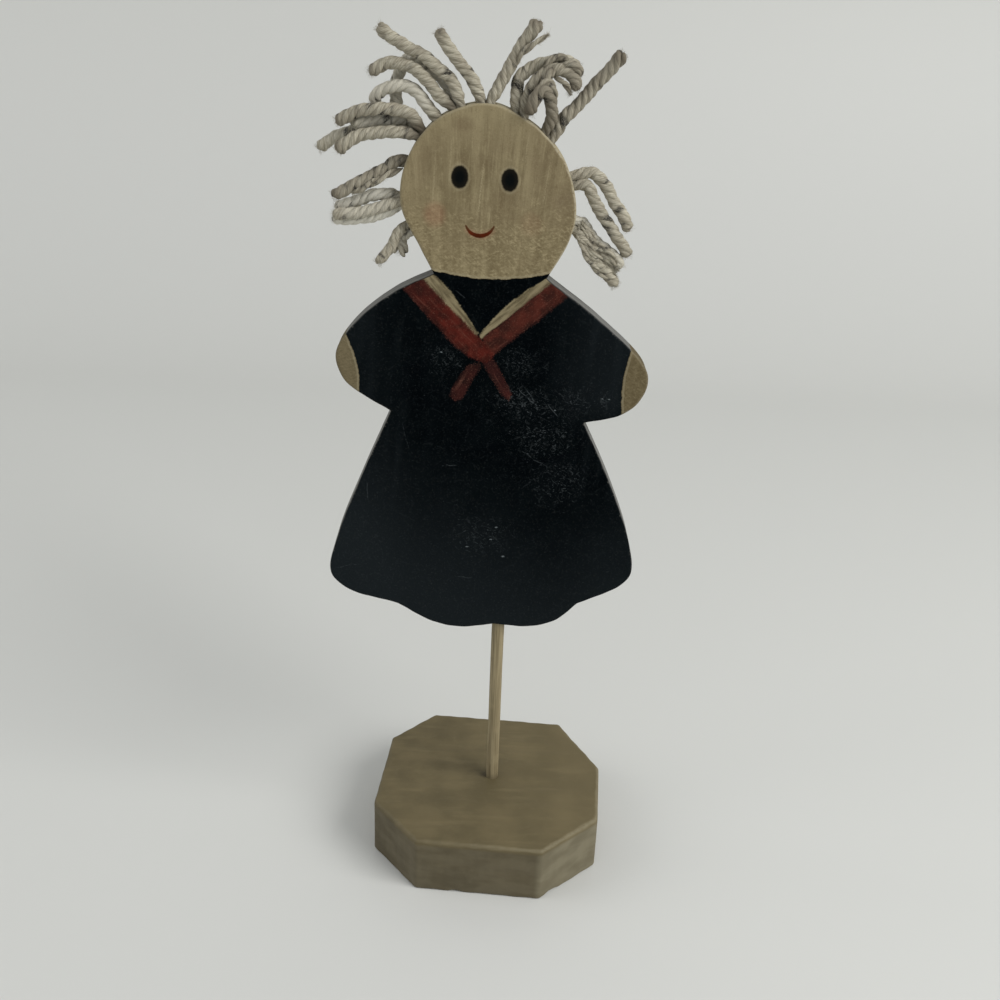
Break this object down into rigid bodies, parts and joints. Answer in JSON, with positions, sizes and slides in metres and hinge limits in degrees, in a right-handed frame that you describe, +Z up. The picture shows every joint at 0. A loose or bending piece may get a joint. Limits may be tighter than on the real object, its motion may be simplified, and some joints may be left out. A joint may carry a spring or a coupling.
{
  "type": "wooden cutout figure",
  "caption": "Painted wooden cutout doll: a flat sawn board in a dark dress with a smiling face and string hair in its rim, standing on a dowel in a block with cut corners.",
  "frame": {"origin": "centre of the underside of the base block, on the surface that the figure stands on", "axes": "+Z up along the dowel, -Y towards the painted front of the figure, +X to the right as the viewer sees the front"},
  "size_m": [0.1163, 0.0888, 0.3143],
  "materials": {
    "block_wood": "olive-brown wash over grain, matt, worn at the edges",
    "dowel_wood": "thin tan wash, matt",
    "figure_paint": "hand-brushed satin paint: near-black navy dress, tan head and hands, dull red kerchief",
    "cotton_string": "twisted cotton string, off-white with dark flecks"
  },
  "bodies": {
    "root": {"base_block": "block_wood", "dowel": "dowel_wood", "figure_board": "figure_paint", "hair_crown_left": "cotton_string", "hair_crown_right": "cotton_string", "hair_top_left_fold": "cotton_string", "hair_top_left_long": "cotton_string", "hair_top_left_hook": "cotton_string", "hair_upper_left_curl": "cotton_string", "hair_left_back": "cotton_string", "hair_left_inner": "cotton_string", "hair_left_upper": "cotton_string", "hair_left_lower": "cotton_string", "hair_temple_single": "cotton_string", "hair_ear_middle": "cotton_string", "hair_ear_lower": "cotton_string", "hair_ear_upper": "cotton_string", "hair_jaw_stub": "cotton_string", "hair_jaw_long": "cotton_string", "hair_right_upper_outer": "cotton_string", "hair_right_upper_inner": "cotton_string", "hair_right_lower_short": "cotton_string", "hair_right_lower_long": "cotton_string", "hair_top_right_knot": "cotton_string", "hair_top_right_long": "cotton_string", "hair_tangle_over": "cotton_string", "hair_tangle_hanging": "cotton_string"}
  },
  "joints": []
}
